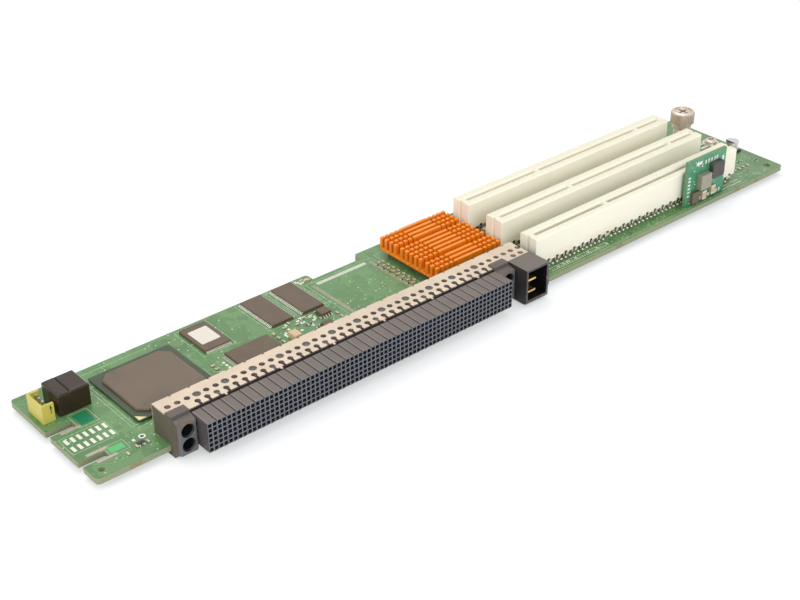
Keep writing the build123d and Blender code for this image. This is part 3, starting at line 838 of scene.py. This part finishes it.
# Card sockets.  Three long cream mouldings for 64-bit cards, with two key ribs
# across each slot and painted shade for small openings along the foot of each side.
# Their tops carry painted shade and the two rear sockets' sides painted light.
socket_left = 168.82
socket_right = 296.84
socket_rows = (16.53, 36.85, 57.17)
socket_under = 3.5
socket_top = 15.95
key_places = (213.78, 278.55)
finish, shade = new_finish("cream_polymer", subsurface_weight=0.06,
                           subsurface_radius=(0.004, 0.003, 0.002))
across, depth, height = shade.axes()
facing = abs(shade.facing(1)) > 0.8
first_arch = at(176.5, 0, 0).x - 5.08 * MM / 2
# Painted shade for small openings along the foot of each side, also pressed in a little by the bump.
arch_shade = lines(across - first_arch, 5.08, 1.5) * (height < at(0, 0, socket_under + 0.95).z) * facing
drift = shade.noise(18.0)
tone = shade.blend(drift, (224, 216, 196), (230, 224, 207))
# Painted shade on the tops, and painted light on the sides of the two rear sockets.
tone = shade.blend((shade.facing(2) > 0.8) * 0.7, tone, (208, 205, 180))
tone = shade.blend(facing * (depth > at(0, 25, 0).y) * 0.9, tone, (244, 237, 216))
# Random darker patches near the foot.
low_patches = (shade.noise(26.0) > 0.55) * (height < at(0, 0, socket_under + 3.0).z)
tone = shade.blend(low_patches * 0.25, tone, (212, 198, 164))
feed(shade, shade.blend(arch_shade, tone, (52, 42, 34)), 0.44 + 0.16 * (drift - 0.5),
     shade.noise(0.35, 2.0) - arch_shade * 2.0)
socket_names = ("front", "middle", "rear")
for name in socket_names:
    dress(f"card_socket_{name}", finish, 0.18)


# Socket legs and springs.  Legs in cones of solder along both sides under the
# mouldings, darkened as painted shade, short tails below the card, and pairs of gold springs in each slot.
leg_pitch = 2.54
leg_row = 3.7
leg_square = 0.5
spring_pitch = 1.27
slot_floor = socket_top - 8.9


def away_from_keys(first, pitch, room):
    """Places along a socket at that pitch, leaving out those by a key rib."""
    count = int((socket_right - 3.7 - first) / pitch) + 1
    every = [first + index * pitch for index in range(count)]
    return [x for x in every if min(abs(x - key) for key in key_places) > room]


# A darker finish for the legs, as painted shade under the mouldings.
shaded_leg_finish = plain_finish("shaded_leg", (92, 90, 80), (122, 118, 106), 2.0, 0.45, 0.2, 0.3, metallic=0.5)
leg = slab("leg", (-leg_square / 2, -0.15, board_face), (leg_square / 2, 0.15, socket_under + 0.1))
cone = disc("cone", 0, 0, board_face, board_face + 0.6, 0.6, 8)
taper(cone, top_face, 0.45, 0.45)
leg_spots = [(x, y + side * leg_row) for x in away_from_keys(socket_left + 3.7, leg_pitch, 1.8)
             for y in socket_rows for side in (-1, 1)]
tin(copies(leg, leg_spots, "socket_legs"), shaded_leg_finish,
    stands_for=[f"socket_contacts_{name}" for name in socket_names])
tin(copies(cone, leg_spots, "leg_solder"), solder)
tail = disc("tail", 0, 0, board_under - 1.3, board_under, 0.32, 6)
bead = disc("bead", 0, 0, board_under - 0.55, board_under, 0.8, 8)
taper(bead, bottom_face, 0.5, 0.5)
tail = joined([tail, bead], "tail")
tail_spots = [(x + (leg_pitch / 2 if side in (-1, 3) else 0), y + side * 1.27)
              for x in away_from_keys(socket_left + 3.7, leg_pitch, 2.4)
              for y in socket_rows for side in (-3, -1, 1, 3)]
tin(copies(tail, tail_spots, "socket_tails"), solder)
spring = slab("spring", (-0.28, -0.95, slot_floor + 0.2), (0.28, -0.82, slot_floor + 3.6))
choose(spring, top_face)
pull(0, 0.28, 1.6)
pull(0, -0.3, 1.3)
done()
spring_spots = [(x, y, turn) for x in away_from_keys(socket_left + 3.9, spring_pitch, 1.5)
                for y in socket_rows for turn in (0, 180)]
tin(copies(spring, spring_spots, "slot_springs"), gold)


# Heat sink.  An orange anodised aluminium extrusion cut across at both ends, so
# that its fins stand as pins there, on a grey pad over the bridge chip.
finish, shade = new_finish("orange_anodised", metallic=0.15)
drift = shade.noise(5.0)
tone = shade.blend(drift, (219, 112, 6), (232, 136, 26))
tone = shade.blend((shade.noise(1.1, 4.0) > 0.62) * 0.35, tone, (246, 176, 96))
feed(shade, tone, 0.36 + 0.14 * (drift - 0.5), shade.noise(0.25, 2.0))
grey_pad = plain_finish("grey_pad", (120, 120, 120), (136, 136, 134), 3.0, 0.8, 0.1, 0.2)
mould = plain_finish("mould_compound", (80, 66, 51), (98, 82, 66), 8.0, 0.4, 0.16, 0.16, 0.03)
dress("heat_sink", finish, 0.3)
dress("thermal_pad", grey_pad)
dress("bridge_chip", mould)


# Controller.  A ball grid package: a dark laminate carrier with a gold corner
# mark over rows of solder balls, and a moulded cap with cut corners.
carrier_left = -9.4
carrier_front = 30.0
carrier_size = 35.0
carrier = plain_finish("carrier_laminate", (52, 60, 44), (66, 74, 54), 5.0, 0.4, 0.16, 0.3)
cap_mould = plain_finish("cap_compound", (82, 69, 55), (114, 98, 81), 26.0, 0.36, 0.16, 0.16, 0.03)
dress("controller_substrate", carrier)
dress("controller_cap", cap_mould, 0.15)
carrier_top = (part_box("controller_substrate")[1].z - origin.z) / MM
cap_top = (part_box("controller_cap")[1].z - origin.z) / MM
ball = disc("ball", 0, 0, board_face, board_face + 0.5, 0.28, 8)
choose(ball, lambda middle, way: abs(way.z) < 0.5)
bpy.ops.mesh.subdivide(number_cuts=1)
done()
choose(ball, lambda middle, way: abs(way.z) < 0.1 and abs(middle.z - board_face - 0.25) < 0.02, "EDGE")
bpy.ops.transform.resize(value=(1.3, 1.3, 1))
done()
ball_pitch = 1.27
ball_first = 1.6
ball_count = 26
rim_spots = []
for index in range(ball_count):
    step = ball_first + index * ball_pitch
    far = carrier_size - ball_first
    for ring in (0, ball_pitch):
        rim_spots += [(carrier_left + step, carrier_front + ball_first + ring),
                      (carrier_left + step, carrier_front + far - ring),
                      (carrier_left + ball_first + ring, carrier_front + step),
                      (carrier_left + far - ring, carrier_front + step)]
balls = copies(ball, sorted(set(rim_spots)), "solder_balls")
tin(balls, solder, stands_for=["controller_balls"])
corner = slab("gold_corner", (carrier_left + 0.4, carrier_front + 0.4, carrier_top - 0.02),
              (carrier_left + 3.6, carrier_front + 3.6, carrier_top + 0.04))
choose(corner)
bpy.ops.mesh.bisect(plane_co=at(carrier_left + 2.0, carrier_front + 2.0, 0), plane_no=(1, 1, 0),
                    clear_outer=True, use_fill=True)
done()
pale_gold = brushed_metal("pale_gold", (206, 194, 140), (224, 212, 164), 0.4, (4, 4, 4))
fit(ease(corner, 0.02), pale_gold, slot="substrate_laminate")


def dimple(name, places, radius, top, finish):
    """Round marks pressed into moulded packages, at (x, y) places."""
    mark = disc("mark", 0, 0, top - 0.02, top + 0.02, radius, 20)
    choose(mark, top_face)
    inset(radius * 0.18)
    pull(0, 0, -0.025)
    done()
    fit(copies(mark, places, name), finish)


dark_mark = plain_finish("dark_mark", (70, 62, 56), (82, 74, 66), 1.0, 0.5, 0.1, 0.2)
dimple("cap_marks", [(-1, 60.4), (20.6, 36.4), (-3, 36.2)], 0.7, cap_top, dark_mark)


# Flash, memories, logic and small chips.  Moulded packages on rows of bent
# tinned leads, the flash under a blank paper label.
for name in ("flash_chip", "memory_left", "memory_right", "logic_chip", "small_chips"):
    dress(name, mould, 0.06, 1)


def lead_spots(x, y, half, pitch, count, turn=0):
    """Places for leads on two sides of a package, that far from its middle at (x, y)."""
    spots = []
    for side in (turn, turn + 180):
        cosine, sine = math.cos(math.radians(side)), math.sin(math.radians(side))
        for index in range(count):
            offset = (index - (count - 1) / 2) * pitch
            spots.append((x + sine * half + cosine * offset, y - cosine * half + sine * offset, side))
    return spots


def bent_leads(name, width, shoulder, reach, places):
    """Flat leads that leave a package's side, bend down and end in a foot on the board."""
    thick = 0.16
    low = board_face + 0.03
    foot = slab("lead", (-width / 2, -reach, low), (width / 2, -reach * 0.55, low + thick))
    choose(foot, lambda middle, way: way.y > 0.9)
    pull(0, reach * 0.28, shoulder - board_face - thick)
    pull(0, reach * 0.27 + 0.25, 0)
    done()
    tin(copies(foot, places, name), solder)


bent_leads("flash_leads", 0.24, 1.05, 1.0, lead_spots(39.3, 60.8, 9.1, 0.5, 23))
memory_spots = lead_spots(68.1, 60.3, 5, 0.8, 27, 270) + lead_spots(83.1, 60.3, 5, 0.8, 27, 270)
bent_leads("memory_leads", 0.4, 1.05, 1.1, memory_spots)
logic_spots = lead_spots(47.4, 38.4, 6.9, 0.65, 30) + lead_spots(47.4, 38.4, 9.9, 0.65, 20, 270)
bent_leads("logic_leads", 0.3, 1.25, 1.1, logic_spots)
small_spots = lead_spots(84.4, 44.6, 2.4, 1.27, 4) + lead_spots(80.2, 36, 2.4, 1.27, 4)
bent_leads("small_chip_leads", 0.42, 1.2, 1.0, small_spots)
thin_top = (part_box("memory_left")[1].z - origin.z) / MM
logic_top = (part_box("logic_chip")[1].z - origin.z) / MM
dimple("pin_marks", [(64.3, 50.4), (79.3, 50.4)], 0.5, thin_top, dark_mark)
dimple("logic_mark", [(39.2, 33.2)], 0.6, logic_top, dark_mark)
label = slab("blank_label", (35.0, 55.9, thin_top - 0.01), (43.5, 66.4, thin_top + 0.06))
ease(label, 0.5, 3, lambda middle, way: abs(way.z) > 0.9)
paper = plain_finish("label_paper", (200, 192, 178), (210, 203, 190), 6.0, 0.6, 0.1, 0.5, 0.01)
fit(label, paper)


# Chip parts.  Small two-terminal ceramic capacitors and resistors soldered by
# their tinned ends: beside the heat sink, between chips and along the edges.
ceramic = plain_finish("tan_ceramic", (170, 142, 108), (192, 168, 134), 2.0, 0.5, 0.2, 0.15)
black_film = plain_finish("resistor_film", (44, 44, 46), (58, 58, 58), 1.0, 0.4, 0.2, 0.15)


def chip_parts(name, finish, length, width, high, places, stands_for=(), drop=0):
    """Blocks with tinned ends, lying along X at each place."""
    piece = slab("chip_part", (-length / 2, -width / 2, board_face),
                 (length / 2, width / 2, board_face + high))
    coat(piece, finish, tinned)
    inner = length / 2 - length * 0.22
    for x in (-inner, inner):
        choose(piece)
        bpy.ops.mesh.bisect(plane_co=at(x, 0, 0), plane_no=(1, 0, 0))
        done()
    choose(piece, lambda middle, way: abs(middle.x) > inner - 0.01)
    assign(piece, 1)
    done()
    ease(piece, 0.07)
    fit(copies(piece, places, name, drop), None, stands_for=stands_for)


scatter = random.Random(7)
tan_spots = row(126.2, 38.8, 0, 3.1, 8) + row(128, 40.2, 0, 3.3, 7, 90)
tan_spots += row(60.4, 38.4, 0, 3.4, 3, 90) + [(66.2, 46), (69.4, 47.6, 90), (71.6, 44.8)]
tan_spots += row(-17, 19, 2.2, 0, 3, 90) + row(303.84, 16.53, 3, 0, 4, 90)
tan_spots += row(198.82, 26.69, 24, 0, 4, 90) + row(198.82, 47.01, 24, 0, 4, 90)
tan_spots += row(180, 63.9, 12.7, 0, 9, 90) + row(186, 68, 16, 0, 7)
tan_spots += [(88.6, 38.2, 90), (88.6, 41.4, 90), (76.4, 47), (304.4, 63, 90), (318, 60)]
tan_spots += [(181.6, 52.6), (181.8, 46.2, 90), (174.8, 55), (-21.6, 17.4, 90)]
tan_spots += row(30.6, 34.2, 0, 2.8, 4)
tan_spots += strewn(scatter, 92.5, 97, 68.6, 71.8, 4, False)
chip_parts("capacitor_chips", ceramic, 1.6, 0.85, 0.62, tan_spots, ["chip_parts"])
black_spots = row(124.4, 36.2, 0, 3.9, 7) + row(129.6, 34.6, 0, 3.6, 3, 90)
black_spots += [(74.4, 42, 90), (76.6, 42, 90), (76.6, 38), (73.8, 36), (70.2, 34.2, 90)]
black_spots += row(183.5, 22.9, 8.9, 0, 12, 90) + row(176.4, 43.6, 10.16, 0, 11)
black_spots += row(170.4, 70, 20.3, 0, 7)
black_spots += [(312.6, 21.6), (304.4, 20.6, 90), (320.6, 18), (309, 36, 90), (311, 36, 90)]
black_spots += [(300.6, 68), (304, 68), (186, 52, 90), (176, 58, 90), (180.4, 58.6)]
chip_parts("resistor_chips", black_film, 1.6, 0.8, 0.45, black_spots)
under_spots = strewn(scatter, -6, 24, 33, 62, 26) + strewn(scatter, 134, 163, 33, 62, 24)
under_spots += strewn(scatter, 62, 90, 50, 70, 14)
under_high = 0.5
chip_parts("underside_chips", ceramic, 1.5, 0.8, under_high, under_spots,
           drop=board_face - board_under + under_high)


# Tantalum capacitors.  Tan moulded blocks on flat tinned tabs that are folded up
# against both ends.
tantalum_mould = plain_finish("tantalum_mould", (190, 162, 128), (206, 180, 146), 2.0, 0.5, 0.2, 0.15)
dress("tantalum_capacitors", tantalum_mould, 0.08, 1)
tab = slab("tab", (-1.1, -0.35, board_face), (1.1, 0.05, board_face + 0.14))
choose(tab, lambda middle, way: way.y > 0.9)
pull(0, 0.08, 0)
done()
choose(tab, lambda middle, way: way.z > 0.9 and middle.y > 0.05)
pull(0, 0, 1.1)
done()
tab_spots = []
for x, y in ((65.6, 38.0), (177.42, 49.01)):
    tab_spots += [(x, y - 2.5), (x, y + 2.5, 180)]
tin(copies(tab, tab_spots, "tantalum_tabs"), tinned)


# Transistor.  A small black moulding near the front edge, on three bent leads.
transistor = ease(slab("transistor", (-16.6, 18.8, board_face + 0.1), (-13.8, 20.2, board_face + 1.15)), 0.15)
fit(transistor, black_film)
bent_leads("transistor_leads", 0.4, 1.0, 0.7,
           [(-16.1, 18.8, 0), (-14.3, 18.8, 0), (-15.2, 20.2, 180)])


# Filter block.  A tall glossy moulding with a shallow seam across its top.
glossy_black = plain_finish("glossy_polymer", (38, 26, 18), (54, 39, 28), 5.0, 0.24, 0.16, 0.3)
dress("filter_block", glossy_black, 0.3, 3)


# Locking header.  A yellow moulding with a tall latch wall and low end wings
# round four square tinned pins.
yellow = plain_finish("yellow_polymer", (172, 160, 66), (188, 177, 88), 4.0, 0.45, 0.16, 0.3)
dress("header_shroud", yellow, 0.15)
dress("header_pins", tinned)
pin_tips = slab("pin_tips", (-0.32, -0.32, board_under - 1.4), (0.32, 0.32, board_under))
ease(pin_tips, 0.18)
tip_spots = row(-32.35, 52.94, 0, 2.54, 4)
tin(copies(pin_tips, tip_spots, "header_tails"), tinned)


# Regulator.  A small upright board in front of the front socket with its
# inductor, capacitor, driver chip and trimming parts on its front face.
upright_left = 258.4
upright_front = 8.4
upright_low = 0.65
grey_metal = plain_finish("grey_metal", (136, 130, 116), (160, 154, 138), 2.0, 0.4, 0.2, 0.2, metallic=0.5)
upright_green = green_mask("upright_laminate", (30, 104, 70), (54, 130, 92), (92, 152, 116),
                           ((62, 122, 80), (40, 96, 60)), True, 6.0)
inductor_black = plain_finish("ferrite", (52, 50, 48), (74, 72, 66), 2.0, 0.5, 0.2, 0.3, 0.03)
dress("regulator_board", upright_green)
dress("regulator_inductor", inductor_black, 0.3)
dress("regulator_capacitor", grey_metal, 0.3)
dress("regulator_chip", mould, 0.12, 1)
dress("regulator_small_parts", ceramic, 0.12, 1)
dress("regulator_pins", tinned)


def upright(x, z, out=0):
    """A place on the upright board's front or that far out from it, counted from its lower left corner."""
    return upright_left + x, upright_front - out, upright_low + z


def upright_pad(x0, z0, x1, z1):
    return ease(slab("upright_pad", upright(x0, z0, pad_rise), upright(x1, z1)), 0.02)


pads = [upright_pad(1.0, z, 2.6, z + 0.9) for z in (4.4, 6.2, 8.0, 9.8, 11.6, 13.2)]
pads += [upright_pad(x, 17.6, x + 1.1, 19.4) for x in (11.6, 13.6, 15.6, 17.6, 19.2)]
pads += [upright_pad(5.6, 18.4, 9.6, 19.9), upright_pad(23.4, 12.0, 24.8, 14.4)]
pads += [upright_pad(23.4, 16.0, 24.8, 18.0)]
pads += [upright_pad(x, 0.5, x + 1.2, 2.2) for x in (9.4, 13.4, 15.4, 20.8, 22.8)]
parts = ((2.2, 9.2, 0, 6.8), (5.6, 14.2, 6.2, 14.8), (13.8, 23.6, 8.2, 17.6))
for index in range(34):
    x, z = loose.uniform(2.8, 24.6), loose.uniform(0.6, 20.4)
    if not any(left < x < right and low < z < high for left, right, low, high in parts):
        pads.append(upright_pad(x, z, x + loose.choice((0.4, 0.7)), z + loose.choice((0.35, 0.6))))
tin(joined(pads, "upright_pads"), solder)
driver_leads = []
for side, x in ((-1, 3.4), (1, 8.0)):
    for index in range(4):
        z = 1.25 + index * 1.27
        left, right = sorted((x, x + side))
        lead = slab("driver_lead", upright(left, z, 0.22), upright(right, z + 0.45, 0.04))
        choose(lead, lambda middle, way: way.x * side < -0.9)
        pull(-side * 0.12, -0.5, 0)
        done()
        driver_leads.append(lead)
tin(joined(driver_leads, "driver_leads"), tinned)
ends = []
for left, low in ((10.4, 0.8), (16.4, 1.6)):
    for z0, z1 in ((low - 0.25, low + 0.7), (low + 3.1, low + 4.05)):
        ends.append(ease(slab("part_end", upright(left - 0.05, z0, 1.36), upright(left + 2.85, z1)), 0.15))
tin(joined(ends, "trim_ends"), tinned)
tin(ease(slab("coil_end", upright(15.4, 8.9, 1.4), upright(22.2, 9.7)), 0.2), tinned)


# Captive thumbscrew.  A knurled nickel-plated knob with a cross recess and a plain
# collar, on a necked screw that turns in a post pressed into the board.
thumb_x = 303.1
thumb_y = 49.1
knob_radius = 5.6
knob_low = 12.0
knob_top = 20.0
neck_radius = 1.6
tip_radius = 2.0
tip_end = -3.91
nickel = brushed_metal("nickel_steel", (200, 186, 172), (222, 211, 198), 0.38, (3, 3, 3))
knurl_teeth = 36
collar_high = 2.6
knob = disc("thumbscrew_dressed", thumb_x, thumb_y, knob_low + collar_high, knob_top, knob_radius - 0.35,
            knurl_teeth * 2)
choose(knob, bottom_face)
inset(0.7)
pull(0, 0, -collar_high)
done()
choose(knob, top_face)
inset(0.8, 0.45)
inset(0.5)
pull(0, 0, -0.5)
inset(0.4)
done()
choose(knob, lambda middle, way: abs(way.z) < 0.3 and knob_low + collar_high < middle.z < knob_top - 0.5)
inset(0.45, 0, use_boundary=True)
done()


def on_tooth(middle):
    angle = math.degrees(math.atan2(middle.y - thumb_y, middle.x - thumb_x)) % 360
    return int(angle / (180 / knurl_teeth)) % 2 == 0


low_rim = knob_low + collar_high + 0.2
high_rim = knob_top - 1.0
choose(knob, lambda middle, way: abs(way.z) < 0.3 and low_rim < middle.z < high_rim and on_tooth(middle))
inset(0.08, 0.34, use_individual=True)
done()
neck = disc("neck", thumb_x, thumb_y, board_under - 0.3, knob_low + 0.1, neck_radius, 24)
tip = disc("tip", thumb_x, thumb_y, tip_end, board_under - 0.3, tip_radius, 24)
taper(tip, bottom_face, 0.75, 0.75)


def cross_recess(piece, x, y, top, reach, half, deep):
    """Cuts two crossing bars into a screw's top."""
    punched(piece, [slab("bar", (x - wide, y - long, top - deep), (x + wide, y + long, top + 1))
                    for wide, long in ((reach, half), (half, reach))], True)


cross_recess(knob, thumb_x, thumb_y, knob_top, 2.6, 0.5, 1.7)
thumbscrew = joined([knob, neck, tip], "thumbscrew_dressed")
fit(thumbscrew, nickel, "captive_screw", "nickel_steel", ["thumbscrew"])
dress("thumbscrew_post", nickel, 0.2)


# Can capacitor.  A bright aluminium can on a black moulded base with two cut
# corners, a black half-moon on its top marking one side.
can_x = 319.6
finish, shade = new_finish("can_and_base")
across, depth, height = shade.axes()
base = height < at(0, 0, board_face + 0.85).z
moon = (height > at(0, 0, board_face + 5.35).z) * (across < at(can_x - 1.1, 0, 0).x)
dark = base.either(moon)
feed(shade, shade.blend(dark, (206, 206, 203), (38, 38, 40)),
     0.3 + 0.25 * dark + 0.1 * (shade.noise(2.0) - 0.5), shade.noise(0.3, 2.0), 0.01, 1.0 - dark)
dress("can_capacitor", finish, 0.25, 3)


# Board screw.  A cross-recessed pan head holding the card's right end, on a
# tinned land that earths the card.
screw_x = 319.5
screw_y = 43.5
land = disc("land", screw_x, screw_y, board_face, board_face + pad_rise, 4.1, 32)
land_bars = [ease(slab("land_bar", (screw_x - 9.4, screw_y + y, board_face),
                       (screw_x - 4.4, screw_y + y + 1.6, board_face + 0.35)), 0.1) for y in (-2.4, 0.8)]
ease(land, 0.02)
tin(joined([land] + land_bars, "earth_land"), tinned)
head_top = board_face + 1.9
screw = disc("board_screw_dressed", screw_x, screw_y, board_face, head_top - 0.7, 2.9, 32)
choose(screw, top_face)
inset(0.45, 0.45)
inset(0.6, 0.25)
done()
cross_recess(screw, screw_x, screw_y, head_top, 1.7, 0.32, 0.9)
shank = disc("shank", screw_x, screw_y, board_under - 1.0, board_face, 1.5, 20)
choose(shank, bottom_face)
inset(0.25, 0.2)
done()
fit(joined([screw, shank], "board_screw_dressed"), nickel, slot="nickel_steel", stands_for=["board_screw"])


# Receptacle tails.  The wafers' press-fit pins come through the card in six rows
# and show as short bright ends on its underside.
press = slab("press", (-0.2, -0.2, board_under - 0.7), (0.2, 0.2, board_under))
taper(press, bottom_face, 0.6, 0.6)
press_spots = [(1.0 + 2 * column, 13.2 + 1.5 * line + (0.75 if column % 2 else 0))
               for column in range(72) for line in range(6)]
tin(copies(press, press_spots, "press_fit_tails"), tinned)
